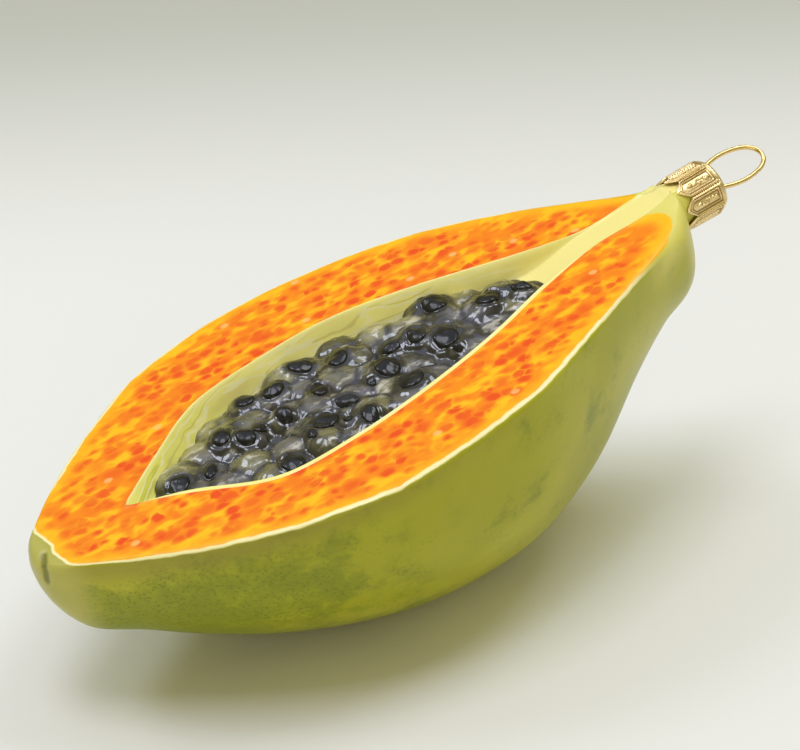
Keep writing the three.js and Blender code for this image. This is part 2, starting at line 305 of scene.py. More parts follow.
# The fruit. Rows are x, half width near, half width far, top, depth, rim radius and forward lean of
# the bottom, as parts of the face length
fruitShape = {
    "stations": [
        [-0.0345, 0.003, 0.004, -0.038, 0.046, 0.002, 0.000],
        [-0.034, 0.010, 0.012, -0.032, 0.052, 0.006, 0.000],
        [-0.030, 0.026, 0.032, -0.012, 0.076, 0.022, 0.001],
        [-0.017, 0.043, 0.051, -0.002, 0.110, 0.016, 0.002],
        [0.006, 0.063, 0.073, 0.000, 0.141, 0.010, 0.002],
        [0.060, 0.106, 0.128, 0.000, 0.171, 0.009, 0.000],
        [0.140, 0.166, 0.192, 0.000, 0.222, 0.009, 0.000],
        [0.250, 0.226, 0.260, 0.000, 0.280, 0.009, 0.000],
        [0.380, 0.264, 0.292, 0.000, 0.328, 0.009, 0.000],
        [0.500, 0.260, 0.293, 0.000, 0.355, 0.009, 0.000],
        [0.620, 0.241, 0.272, 0.000, 0.358, 0.009, 0.000],
        [0.740, 0.193, 0.230, 0.000, 0.322, 0.009, 0.000],
        [0.860, 0.141, 0.157, 0.000, 0.231, 0.010, 0.000],
        [0.930, 0.113, 0.103, 0.000, 0.182, 0.016, 0.003],
        [0.980, 0.093, 0.066, 0.003, 0.164, 0.030, 0.007],
        [1.003, 0.073, 0.046, 0.008, 0.148, 0.036, 0.011],
        [1.015, 0.056, 0.036, 0.013, 0.110, 0.032, 0.009],
        [1.023, 0.047, 0.029, 0.014, 0.062, 0.031, 0.001],
        [1.036, 0.045, 0.027, 0.013, 0.058, 0.031, 0.000],
        [1.083, 0.044, 0.026, 0.012, 0.056, 0.031, 0.000],
    ],
    "bellyExponent": 2.2,
    "rings": 380,
    "columns": {"flat": 26, "wall": 20, "floor": 22, "rim": 7, "belly": 108},
    "inset": 0.05,
    "wobble": 0.16,
    "wobbleSize": 11.0,
    "grooveLine": [[-2.1, -0.3, -0.4], [-2.9, -1.9, -0.7], [-3.5, -2.8, -1.7], [-3.9, -2.9, -3.1]],
    "grooveWidth": 0.9,
    "grooveDepth": 0.30,
    "lipRange": [0.12, 0.86],
    "wallBand": 2.6,
    "wallBandShare": 0.42,
    "outerBand": 0.9,
    "outerBandShare": 0.5,
    "faceInset": 0.3,
    "rimShare": 0.8,
}

# The seed cavity and the channel to the neck: x, half width near, half width far, depth
cavityShape = {
    "stations": [
        [0.110, 0.000, 0.000, 0.010],
        [0.184, 0.038, 0.057, 0.036],
        [0.286, 0.110, 0.124, 0.038],
        [0.400, 0.118, 0.142, 0.038],
        [0.520, 0.106, 0.142, 0.038],
        [0.650, 0.079, 0.106, 0.038],
        [0.780, 0.038, 0.053, 0.030],
        [0.880, 0.021, 0.020, 0.0030],
        [0.965, 0.022, 0.020, 0.0015],
        [1.060, 0.024, 0.014, 0.0015],
    ],
    "steps": 240,
    "outlineSteps": 120,
    "lip": 0.4,
    "lipSlope": 4,
    "wallRun": 2.0,
    "wallSlope": 0.55,
    "shallowRun": 0.5,
    "bead": 0.16,
    "beadWidth": 0.4,
    "beadOut": 0.15,
    "streaks": 0.14,
    "streaksEnd": [92, 106],
    "streaksFrom": [0.2, 1.0],
    "streakNoise": [[9, 0.8, 5, 1.0], [5, 0.45, 6, 0.6]],
    "nearBand": 0.75,
    "nearBandAcross": [2.0, -2.0],
    "nearBandAlong": [[14, 26], [118, 100]],
    "outside": -9.0,
}

# The painted orange: its outline as x and half widths, and the points of its rounded ends
orangeShape = {
    "near": [
        [0.003, 0.046], [0.0115, 0.058], [0.060, 0.101], [0.140, 0.160], [0.250, 0.219],
        [0.380, 0.257], [0.500, 0.252], [0.620, 0.233], [0.740, 0.185], [0.860, 0.138],
        [0.924, 0.116], [0.949, 0.103], [0.974, 0.080], [0.983, 0.062], [0.984, 0.048],
        [0.978, 0.034], [0.9646, 0.024],
    ],
    "far": [
        [0.000, 0.052], [0.0093, 0.0875], [0.060, 0.117], [0.140, 0.182], [0.250, 0.253],
        [0.380, 0.285], [0.500, 0.286], [0.620, 0.265], [0.740, 0.223], [0.860, 0.149],
        [0.952, 0.073], [0.9774, 0.050], [0.990, 0.037], [0.993, 0.030], [0.986, 0.024],
    ],
    "blossomEnd": [[0.000, -0.0278], [-0.0002, -0.010], [0.0035, 0.0057], [0.0022, 0.0287]],
}
print("stage 3: tables ready")


def cavityRows(count=cavityShape["steps"]):
    # The cavity's table at equal steps, in millimetres, with the lip added to both half widths
    x, near, far, depth = resample(cavityShape["stations"], count).T
    lip = np.minimum(cavityShape["lip"], cavityShape["lipSlope"] * (x - x[0]))
    return x, near + lip, far + lip, np.maximum(depth, 0)


def cavityOutline():
    # The lip as a closed outline: out along the near side and back along the far side
    x, near, far, _ = cavityRows(cavityShape["outlineSteps"])
    return np.concatenate([np.stack([x, -near], -1), np.stack([x, far], -1)[::-1]])


def orangeOutline():
    # Out along the near edge to the neck, back along the far edge, and round the blossom end
    near = np.array(orangeShape["near"]) * [1, -1]
    far = np.array(orangeShape["far"])[::-1]
    end = np.array(orangeShape["blossomEnd"])[::-1]
    return np.concatenate([near, far, end]) * fruitPlace["faceLength"]


def lineDistance(points, line):
    # Distance from each point to the nearest place on a chain of straight pieces
    nearest = np.full(points.shape[:-1], farAway)
    for a, b in zip(np.array(line[:-1]), np.array(line[1:])):
        t = np.clip((points - a) @ (b - a) / ((b - a) @ (b - a)), 0, 1)
        nearest = np.minimum(nearest, np.linalg.norm(points - a - t[..., None] * (b - a), axis=-1))
    return nearest


def cavityDrop(x, inside):
    # How far the surface sinks inside the lip: the depth there, eased in over the wall's run
    shape = cavityShape
    tableX, _, _, depth = cavityRows()
    depthHere = np.interp(x, tableX, depth)
    longest = shape["wallRun"] + shape["lip"]
    run = np.clip(shape["wallSlope"] * depthHere, shape["shallowRun"], longest)
    return depthHere * smoothStep(0, 1, inside / run)


def fruitGrid():
    # Rings across the fruit: the cut face with columns set along the cavity's walls, the two round
    # rims as quarter circles, and the belly as half a superellipse that leans forward by reach
    shape = fruitShape
    rows = resample(shape["stations"], shape["rings"])
    x, near, far, top, depth, rim, reach = (column[:, None] for column in rows.T)
    tableX, tableNear, tableFar, _ = cavityRows()
    flatNear, flatFar = near - rim, far - rim
    least, most = shape["lipRange"]
    lipNear = np.clip(np.interp(x, tableX, tableNear), least * flatNear, most * flatNear)
    lipFar = np.clip(np.interp(x, tableX, tableFar), least * flatFar, most * flatFar)
    wallIn = np.minimum(shape["wallBand"], shape["wallBandShare"] * (lipNear + lipFar))
    outNear, outFar = (
        np.minimum(shape["outerBand"], shape["outerBandShare"] * (flat - lip))
        for flat, lip in ((flatNear, lipNear), (flatFar, lipFar)))
    stops = [-flatNear, -lipNear - outNear, -lipNear + wallIn]
    stops += [lipFar - wallIn, lipFar + outFar, flatFar]
    counts = shape["columns"]
    zones = [counts["flat"], counts["wall"], counts["floor"], counts["wall"], counts["flat"]]
    topY = np.concatenate([
        low + (high - low) * np.arange(count) / count
        for low, high, count in zip(stops[:-1], stops[1:], zones)
    ], 1)
    angle = np.pi / 2 * np.arange(counts["rim"]) / counts["rim"]
    farRimY, farRimZ = far - rim + rim * np.sin(angle), top - rim + rim * np.cos(angle)
    turn = np.pi / 2 * (1 - np.arange(1, counts["rim"] + 1) / (counts["rim"] + 1))
    nearRimY, nearRimZ = rim - near - rim * np.sin(turn), top - rim + rim * np.cos(turn)
    bellyAngle = np.pi * np.arange(counts["belly"] + 1) / counts["belly"]
    power = 2 / shape["bellyExponent"]
    side = np.sign(np.cos(bellyAngle)) * np.abs(np.cos(bellyAngle)) ** power
    fall = np.sin(bellyAngle) ** power
    bellyY = side * np.where(side > 0, far, near)
    bellyZ = top - rim - fall * (depth + top - rim)
    y = np.concatenate([topY, farRimY, bellyY, nearRimY], 1)
    z = np.concatenate([np.broadcast_to(top, topY.shape), farRimZ, bellyZ, nearRimZ], 1)
    lean = reach * (top - z) / (top + depth)
    return np.stack([x + lean, y, z], -1), top, rim, topY.shape[1]


def buildFruit():
    # The grid is drawn in along its normals by an even share, a slow wobble and the groove at the
    # blossom end. The cavity then sinks in from its lip, a low bead, with streaks along its walls
    shape, cavity = fruitShape, cavityShape
    points, top, rim, faceColumns = fruitGrid()
    x, y, z = points[..., 0], points[..., 1], points[..., 2]
    belowTop = np.maximum(top - z, 0)
    cavityInside = insideDistance(x, y, cavityOutline())
    orangeInside = insideDistance(x, y, orangeOutline()) - belowTop
    normals = gridNormals(points)
    outwards = np.sign((normals * (points - points.mean(1, keepdims=True))).sum(-1).mean())
    size = shape["wobbleSize"]
    slow = softNoise(x / size, y / size + z / size, 3)
    amount = shape["inset"] + shape["wobble"] * (0.5 + 0.5 * slow)
    onFace = np.zeros(x.shape, bool)
    onFace[:, :faceColumns] = True
    away = lineDistance(points, shape["grooveLine"]) / shape["grooveWidth"]
    groove = np.exp(-away**2)
    inwards = amount * np.where(onFace, shape["faceInset"], 1.0) + shape["grooveDepth"] * groove
    points = points - normals * (outwards * inwards)[..., None]
    onTop = onFace | (belowTop < shape["rimShare"] * rim)
    drop = np.where(onTop, cavityDrop(x, cavityInside), 0)
    fromBead = (cavityInside + cavity["beadOut"]) / cavity["beadWidth"]
    lipBead = cavity["bead"] * np.exp(-fromBead**2)
    start, end = cavity["streaksEnd"]
    onWall = smoothStep(*cavity["streaksFrom"], cavityInside) * smoothStep(end, start, x)
    streak = sum(share * softNoise(x / long, y / wide, seed)
                 for long, wide, seed, share in cavity["streakNoise"])
    points[..., 2] += np.where(onTop, lipBead + cavity["streaks"] * streak * onWall, 0) - drop
    nearSide = smoothStep(*cavity["nearBandAcross"], y)
    for low, high in cavity["nearBandAlong"]:
        nearSide = nearSide * smoothStep(low, high, x)
    paintInside = cavityInside + cavity["nearBand"] * nearSide
    attributes = {
        "fruitPoint": withEnds(np.stack([x, y, z], -1)),
        "cavityInside": withEnds(np.where(onTop, paintInside, cavity["outside"])),
        "orangeInside": withEnds(orangeInside),
        "groove": withEnds(groove),
    }
    piece = tubePiece("glassFruit", [points], attributes)
    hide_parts("glass_body")
    return piece


fruit = buildFruit()
print("stage 4: fruit built")

# The seed bed: domes as in the CAD, and the black seeds as place, half length, half width and turn
seedShape = {
    "pitchX": 5.8,
    "pitchY": 6.6,
    "radius": 3.7,
    "height": 3.0,
    "jitter": 0.7,
    "firstX": 20,
    "lastX": 103,
    "bed": [16.5, 103.5],
    "endFade": 1.0,
    "domesBetween": [23.0, 99.5],
    "edgeGap": 2.0,
    "union": 2.8,
    "spread": 1.2,
    "bedRadius": 5.4,
    "bedHeight": 1.5,
    "bedShare": 0.4,
    "sideRows": 4,
    "radiusDraw": 0.16,
    "heightDraw": [0.86, 0.22],
    "tonePower": 6,
    "wobbles": [[0.26, 2.3, 8], [0.10, 1.0, 9]],
    "workFrom": [0.2, 1.5],
    "sunk": 0.35,
    "sideGap": 0.5,
    "underDepth": 0.8,
    "rings": 330,
    "columns": 125,
    "blackSeeds": [
        [24.6, 0.6, 2.4, 1.8, 43], [30.6, 0.5, 2.1, 1.2, 55], [36.4, 6.7, 2.4, 1.8, 71],
        [39.6, 2.8, 2.1, 1.7, 97], [42.7, 3.4, 1.5, 1.2, 48], [45.2, 13.2, 2.1, 1.8, 46],
        [50.2, 11.2, 2.3, 2.0, 25], [57.6, 13.9, 2.7, 2.3, 95], [47.7, 2.9, 2.2, 1.5, 75],
        [41.7, -9.7, 2.3, 2.1, 50], [56.0, 4.4, 2.2, 1.4, 85], [63.5, 9.8, 2.6, 1.9, 49],
        [52.1, -4.1, 2.8, 2.0, 22], [55.0, -7.0, 1.2, 0.9, 78], [58.0, -9.8, 2.3, 1.6, 73],
        [57.8, -2.3, 2.2, 1.3, 145], [68.3, 0.4, 3.0, 2.4, 68], [71.9, 4.8, 1.9, 1.5, 151],
        [63.8, -1.1, 1.2, 0.9, 76], [48.0, -6.2, 1.3, 0.9, 78], [85.1, 9.5, 2.9, 2.4, 84],
        [92.2, 2.0, 2.6, 2.2, 12], [98.4, -0.2, 2.2, 1.5, 127], [77.0, 3.5, 2.3, 1.8, 72],
        [80.4, -0.9, 2.6, 2.4, 64], [68.7, -7.1, 3.0, 2.4, 50], [80.1, -5.1, 1.1, 0.8, 93],
    ],
    "seedThickness": 0.45,
    "seedUnder": 0.5,
    "seedRings": 22,
    "seedColumns": 32,
    "poleGap": 0.02,
    "seedClearance": 2.2,
    "lidShare": 1.6,
    "lidMargin": 0.6,
    "lidJitter": [0.5, 0.7],
    "lidHeightDraw": [0.88, 0.2],
    "moat": 0.13,
    "moatAt": [1.06, 0.10],
    "lidRing": 0.07,
    "lidRingAt": [1.36, 0.14],
}


def draw(n):
    # A repeatable draw from -1 to 1 for each number
    value = np.sin(n * 12.9898) * 43758.5453
    return 2 * (value - np.floor(value)) - 1


def placeDomes():
    # Staggered rows across the cavity, moved and sized by repeatable draws, less those too near a
    # black seed, then one dome under each black seed; rows are x, y, radius, height
    shape = seedShape
    count = int((shape["lastX"] - shape["firstX"]) // shape["pitchX"]) + 1
    sides = np.arange(-shape["sideRows"], shape["sideRows"] + 1)
    i, j = (grid.ravel() for grid in np.meshgrid(np.arange(count), sides, indexing="ij"))
    x = shape["firstX"] + i * shape["pitchX"]
    tableX, near, far, _ = cavityRows()
    near, far = (np.interp(x, tableX, side) - cavityShape["lip"] for side in (near, far))
    offset = (j + 0.5 * (i % 2)) * shape["pitchY"]
    kept = np.abs(offset) < np.maximum((far + near) / 2 - shape["edgeGap"], 1)
    kept &= (x > shape["domesBetween"][0]) & (x < shape["domesBetween"][1])
    n = 10 * i + j + 5
    middle, spread = shape["heightDraw"]
    placed = np.stack([
        x + shape["jitter"] * draw(n),
        (far - near) / 2 + offset + shape["jitter"] * draw(n + 0.37),
        shape["spread"] * shape["radius"] * (1 + shape["radiusDraw"] * draw(n + 0.71)),
        shape["height"] * (middle + spread * draw(n + 0.53)),
    ], -1)[kept]
    seeds = np.array(shape["blackSeeds"])
    seedX, seedY = seeds[:, 0], seeds[:, 1]
    nearest = np.hypot(placed[:, None, 0] - seedX, placed[:, None, 1] - seedY).min(1)
    number = np.arange(len(seeds))
    middle, spread = shape["lidHeightDraw"]
    lids = np.stack([
        seedX + shape["lidJitter"][0] * draw(number + 0.6),
        seedY + shape["lidJitter"][1] * draw(number + 0.8),
        shape["lidShare"] * np.sqrt(seeds[:, 2] * seeds[:, 3]) + shape["lidMargin"],
        shape["height"] * (middle + spread * draw(number + 0.2)),
    ], -1)
    return np.concatenate([placed[nearest > shape["seedClearance"]], lids])


domes = placeDomes()


def seedDistance(x, y):
    # The least elliptical distance to a black seed, with 1 on its own outline
    nearest = np.full(x.shape, farAway)
    for seedX, seedY, long, wide, turn in seedShape["blackSeeds"]:
        angle = math.radians(turn)
        along = (x - seedX) * math.cos(angle) + (y - seedY) * math.sin(angle)
        across = (y - seedY) * math.cos(angle) - (x - seedX) * math.sin(angle)
        nearest = np.minimum(nearest, np.hypot(along / long, across / wide))
    return nearest


def domeRise(x, y):
    # Each dome is half an ellipsoid on a lower, wider bed, and all join as the union-th root of the
    # sum of their powers. Also gives each point's tone, its share of the way to its dome's edge and
    # the highest dome's share of the joined height
    shape = seedShape
    power, full = shape["union"], shape["height"]
    total, tone, edge, weight, highest = (np.zeros(x.shape) for _ in range(5))
    for k, (domeX, domeY, radius, height) in enumerate(domes):
        away = np.hypot(x - domeX, y - domeY)
        rise = height * np.sqrt(np.clip(1 - (away / radius) ** 2, 0, None))
        bed = shape["bedHeight"] * np.sqrt(np.clip(1 - (away / shape["bedRadius"]) ** 2, 0, None))
        total += (rise / full) ** power + shape["bedShare"] * (bed / full) ** power
        share = (rise / full) ** shape["tonePower"]
        tone += share * draw(k + 0.11)
        edge += share * np.clip(away / radius, 0, 1)
        weight += share
        highest = np.maximum(highest, rise)
    joined = full * total ** (1 / power)
    weight = np.maximum(weight, 1e-12)
    return joined, tone / weight, edge / weight, highest / np.maximum(joined, 1e-6)


def pulpHeight(x, y):
    # The sunk floor plus the domes, with a lumpy wobble on them and, round each black seed, a
    # narrow moat and a raised ring, both bell curves of the distance to the seed
    shape = seedShape
    rise, tone, edge, gap = domeRise(x, y)
    wobble = sum(size * softNoise(x / pitch, y / pitch, seed)
                 for size, pitch, seed in shape["wobbles"])
    ring = seedDistance(x, y)
    bell = lambda place, width: np.exp(-((ring - place) / width) ** 2)
    lid = shape["lidRing"] * bell(*shape["lidRingAt"])
    moat = shape["moat"] * bell(*shape["moatAt"])
    tableX, _, far, depth = cavityRows()
    floor = -np.interp(x, tableX, depth)
    (start, end), run = shape["bed"], shape["endFade"]
    fade = smoothStep(start, start + run, x) * smoothStep(end, end - run, x)
    work = (wobble + lid - moat) * smoothStep(*shape["workFrom"], rise)
    height = floor - shape["sunk"] + fade * (rise + work)
    farShare = y / np.interp(x, tableX, far)
    fields = {"tone": tone, "edge": edge, "gap": gap, "ring": ring, "farShare": farShare}
    return height, floor, fields


def buildPulp():
    # A tube along the cavity: its upper half is the floor with the domes on it, its lower half lies
    # hidden just under the floor
    shape = seedShape
    tableX, near, far, _ = cavityRows()
    x = np.linspace(*shape["bed"], shape["rings"])[:, None]
    near, far = (np.interp(x, tableX, side) - shape["sideGap"] for side in (near, far))
    y = -near + (near + far) * np.linspace(0, 1, shape["columns"])
    x = np.broadcast_to(x, y.shape)
    z, floor, fields = pulpHeight(x, y)
    upper = np.stack([x, y, z], -1)
    lower = np.stack([x, y, floor - shape["underDepth"]], -1)[:, ::-1]
    grid = np.concatenate([upper, lower], 1)
    attributes = {"fruitPoint": withEnds(grid)}
    for key, values in fields.items():
        attributes[key] = withEnds(np.concatenate([values, values[:, ::-1]], 1))
    piece = tubePiece("seedPulp", [grid], attributes)
    return piece


def buildSeeds():
    # Each black seed is an ellipse laid on the pulp: its upper side swells up by a half ellipsoid
    # and its under side goes down into the pulp
    shape = seedShape
    lat = np.linspace(shape["poleGap"], np.pi - shape["poleGap"], shape["seedRings"])[:, None]
    lon = 2 * np.pi * np.arange(shape["seedColumns"]) / shape["seedColumns"]
    grids, numbers = [], []
    for k, (seedX, seedY, long, wide, turn) in enumerate(shape["blackSeeds"]):
        a, b = long * np.sin(lat) * np.cos(lon), wide * np.sin(lat) * np.sin(lon)
        angle = math.radians(turn)
        x = seedX + a * math.cos(angle) - b * math.sin(angle)
        y = seedY + a * math.sin(angle) + b * math.cos(angle)
        thick = shape["seedThickness"] * (wide / 2) ** 0.5
        swell = np.where(np.cos(lat) > 0, thick, shape["seedUnder"]) * np.cos(lat)
        z = pulpHeight(x, y)[0] + np.broadcast_to(swell, x.shape)
        grids.append(np.stack([x, y, z], -1))
        numbers.append(withEnds(np.full(x.shape, draw(k + 0.9))))
    piece = tubePiece("blackSeeds", grids, {"seedTone": np.concatenate(numbers)})
    return piece


pulp = buildPulp()
seeds = buildSeeds()
print("stage 5: seeds built")

# The cap: eight petals with raised borders round the neck
capShape = {
    "mouthX": 132.99,
    "neckY": -1.17,
    "neckZ": -2.86,
    "height": 9.5,
    "sheet": 0.4,
    "mouthRadius": 5.6,
    "topRadius": 5.7,
    "edgeRadius": 0.9,
    "petals": 8,
    "petalHalf": 2.15,
    "petalFlatness": 0.5,
    "point": 2.2,
    "pointPower": 1.3,
    "pointFade": 0.75,
    "turn": math.radians(-11),
    "groove": 0.3,
    "grooveWidth": 0.07,
    "innerGap": 0.12,
    "underGap": 0.02,
    "underEnd": 0.93,
    "insideMark": 0.4,
    "reliefSunk": 0.21,
    "borderHeight": 0.24,
    "borders": [[0.44, 0.17, 1.0], [0.92, 0.13, 0.75]],
    "hollows": [[0.68, 0.13], [1.20, 0.15]],
    "endSlope": 0.93,
    "topMargin": 0.2,
    "beadPitch": 0.62,
    "beadRadius": 0.32,
    "beadRowGap": 0.62,
    "beadRowsFrom": [0.9, 1.1],
    "beadRowHeight": 0.8,
    "seamBeads": [0.30, 0.22],
    "seamHollow": 0.14,
    "seamBeadClear": 0.7,
    "figureHeight": 0.34,
    "figureMiddle": 4.9,
    "drops": [[1.95, 0.10, 0.66, 0.46, 1.15, 1.0], [1.20, -0.28, 0.60, 0.24, 1.1, 0.7]],
    "flower": {"leaves": 5, "turn": 0.4, "reach": 0.46, "size": 0.30, "rim": 1.1, "share": 0.85},
    "outlineAt": [0.16, 0.10],
    "beadedPetals": [1, 2, 4, 7],
    "holeRadius": 0.72,
    "holeDepth": 1.0,
    "collar": [0.18, -0.12],
    "middleShare": 0.01,
    "petalColumns": 60,
    "rows": {"under": 44, "wall": 74, "innerStep": 4, "edge": 9, "top": 48},
}

# The wire: two legs in the neck and an oval loop
wireShape = {
    "radius": 0.47,
    "legSpread": 2.2,
    "legShift": 1.2,
    "legInNeck": 2.5,
    "legDepth": 14,
    "loopLength": 13.25,
    "loopHalfWidth": 3.5,
    "loopTurn": math.radians(58),
    "loopLean": math.radians(3),
    "oval": [[0.84, 0.20], [0.98, 0.40], [0.97, 0.62], [0.74, 0.85], [0.38, 0.97]],
    "legEndSpread": 0.3,
    "legBends": [0.5, 0.25],
    "legRise": 0.4,
    "steps": 420,
    "sides": 20,
    "skin": 0.985,
    "marks": [[0.600, 0.635], [0.335, 0.375]],
    "markFade": 0.004,
    "teeth": 190,
    "toothDepth": 0.20,
}


def fromNeck(points):
    # The neck's frame has Z along the fruit's X; its X points down out of the fruit
    x, y, z = points[..., 0], points[..., 1], points[..., 2]
    return np.stack([capShape["mouthX"] + z, capShape["neckY"] + y, capShape["neckZ"] - x], -1)


def inLoopPlane(offset, height):
    # A point of the wire's plane from its offset across and its height above the cap's mouth
    lean = np.maximum(0, height - capShape["height"]) * math.tan(wireShape["loopLean"])
    across = offset + wireShape["legShift"] - lean
    turn = wireShape["loopTurn"]
    return np.stack([-math.cos(turn) * across, math.sin(turn) * across, height], -1)


def capRelief(column, petal, height):
    # Raised work on a petal, and 1 less its hollows, by distances in millimetres: a double border,
    # beads on the seams, and inside either two drops with a flower or three rows of beads. Lines
    # are bell curves; drops, leaves and beads are domes. A drop's row is its place along and
    # across, its half length and width, its rim and its share
    shape = capShape
    edge = (1 - np.abs(column)) * shape["petalHalf"]
    fromEnd = height * shape["endSlope"]
    fromTop = (shape["height"] - shape["edgeRadius"] - height) + shape["topMargin"]
    border = np.minimum(np.minimum(edge, fromEnd), fromTop)
    bell = lambda distance, width: np.exp(-(distance / width) ** 2)
    lines = sum(share * bell(border - centre, width) for centre, width, share in shape["borders"])
    beads = 0.5 + 0.5 * np.cos(2 * np.pi * height / shape["beadPitch"])
    seamHeight, seamWidth = shape["seamBeads"]
    relief = shape["borderHeight"] * lines + seamHeight * beads * bell(edge, seamWidth)
    across = column * shape["petalHalf"]
    along = height - shape["figureMiddle"]
    figure = np.zeros(column.shape)
    for sign in (-1, 1):
        for alongAt, acrossAt, long, wide, rim, share in shape["drops"]:
            drop = np.hypot((along - sign * alongAt) / long, (across - sign * acrossAt) / wide)
            figure = np.maximum(figure, np.clip(rim - drop, 0, 1) * share)
    flower = shape["flower"]
    for k in range(flower["leaves"]):
        angle = 2 * math.pi * k / flower["leaves"] + flower["turn"]
        leafX, leafY = flower["reach"] * math.cos(angle), flower["reach"] * math.sin(angle)
        leaf = np.hypot(along - leafX, across - leafY) / flower["size"]
        figure = np.maximum(figure, np.clip(flower["rim"] - leaf, 0, 1) * flower["share"])
    pitch = shape["beadPitch"]
    rowBeads = np.zeros(column.shape)
    for k in (-1, 0, 1):
        step = (along + 0.5 * pitch * abs(k)) / pitch
        fromBead = np.hypot((step - np.round(step)) * pitch, across - shape["beadRowGap"] * k)
        bead = np.clip(1 - (fromBead / shape["beadRadius"]) ** 2, 0, 1)
        rowBeads = np.maximum(rowBeads, bead)
    rowBeads *= smoothStep(*shape["beadRowsFrom"], border)
    beaded = np.isin(petal, shape["beadedPetals"])
    inner = np.where(beaded, shape["beadRowHeight"] * rowBeads, smoothStep(0, 1, figure))
    hollow = sum(bell(border - centre, width) for centre, width in shape["hollows"])
    hollow += bell(edge, shape["seamHollow"]) * (1 - shape["seamBeadClear"] * beads)
    centre, width = shape["outlineAt"]
    outline = bell(inner - centre, width)
    return relief + shape["figureHeight"] * inner, 1 - np.clip(hollow + outline, 0, 1)


def capGrid():
    # Rows from the middle of the underside down the inside, round the petals' ends, up the outside
    # and over the top; columns go round, with each petal a nearly flat panel between two grooves
    shape = capShape
    perPetal = shape["petalColumns"]
    column = np.tile(-1 + 2 * np.arange(perPetal) / perPetal, shape["petals"])
    petal = np.repeat(np.arange(shape["petals"]), perPetal)
    panelHalf = math.pi / shape["petals"]
    angle = (2 * petal + column) * panelHalf + shape["turn"]
    panel = math.cos(panelHalf) / np.cos(column * panelHalf)
    groove = shape["groove"] * np.exp(-((np.abs(column) - 1) / shape["grooveWidth"]) ** 2)
    shoulder = shape["height"] - shape["edgeRadius"]
    flat = shape["topRadius"] - shape["edgeRadius"]
    holes = [inLoopPlane(np.array(side * wireShape["legSpread"]), np.array(shape["height"]))
             for side in (-1, 1)]

    def wall(share, sheet, relief):
        # The radius goes evenly from mouth to top, less the sheet, and is flattened on each petal
        height = shoulder * share
        fade = max(0, 1 - height / (shape["pointFade"] * shape["height"]))
        lift = shape["point"] * np.abs(column) ** shape["pointPower"] * fade
        base = shape["mouthRadius"] + (shape["topRadius"] - shape["mouthRadius"]) * share - sheet
        radius = base * (1 + shape["petalFlatness"] * (panel - 1)) - groove
        if relief:
            raised, mark = capRelief(column, petal, np.broadcast_to(height, column.shape))
            return radius + raised - shape["reliefSunk"], height + lift, mark
        return radius, height + lift, np.full(column.shape, shape["insideMark"])

    def topRow(share, height):
        # Share 1 is the outer end of the flat top; each hole is drawn down into a short collar
        radius = np.broadcast_to(flat * share, column.shape)
        x, y = radius * np.cos(angle), radius * np.sin(angle)
        outer, inner = (shape["holeRadius"] + gap for gap in shape["collar"])
        pull = sum(smoothStep(outer, inner, np.hypot(x - hole[0], y - hole[1])) for hole in holes)
        return radius, height - shape["holeDepth"] * pull, 1 - pull

    counts, middle = shape["rows"], shape["middleShare"]
    shares = np.linspace(0, 1, counts["wall"])
    under = shape["height"] - shape["sheet"] - shape["underGap"]
    rows = [topRow(share, under)
            for share in np.linspace(middle, shape["underEnd"], counts["under"])]
    rows += [wall(share, shape["sheet"] + shape["innerGap"], False)
             for share in shares[::-1][::counts["innerStep"]]]
    rows += [wall(share, 0, True) for share in shares]
    endRadius = rows[-1][0]
    for step in np.linspace(0, 1, counts["edge"])[1:]:
        radius = flat + (endRadius - flat) * math.cos(step * math.pi / 2)
        height = shoulder + shape["edgeRadius"] * math.sin(step * math.pi / 2)
        rows.append((radius, height, 1.0))
    rows += [topRow(share, shape["height"]) for share in np.linspace(1, middle, counts["top"])[1:]]
    radius, height, mark = (np.stack([np.broadcast_to(row[k], column.shape) for row in rows])
                            for k in range(3))
    return np.stack([radius * np.cos(angle), radius * np.sin(angle), height], -1), mark


def buildCap():
    # The cap's grid laid onto the neck
    local, mark = capGrid()
    attributes = {"capPoint": withEnds(local), "raised": withEnds(mark)}
    piece = tubePiece("giltCap", [fromNeck(local)], attributes)
    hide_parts("cap")
    return piece


def wirePath():
    # Control points up one leg, round the loop and down the other, as x = offset and y = height
    shape = wireShape
    height = capShape["height"]

    def half(side):
        inNeck = side * shape["legInNeck"] - shape["legShift"]
        end = side * (shape["legInNeck"] + shape["legEndSpread"]) - shape["legShift"]
        leg = [[end, height - shape["legDepth"]]]
        leg += [[inNeck, height - share * shape["legDepth"]] for share in shape["legBends"]]
        leg += [[side * shape["legSpread"], height + rise]
                for rise in (-shape["legRise"], shape["legRise"])]
        loop = [[side * across * shape["loopHalfWidth"], height + along * shape["loopLength"]]
                for across, along in shape["oval"]]
        return leg + loop

    plan = np.array(half(1) + [[0, height + shape["loopLength"]]] + half(-1)[::-1])
    return inLoopPlane(plan[:, 0], plan[:, 1])


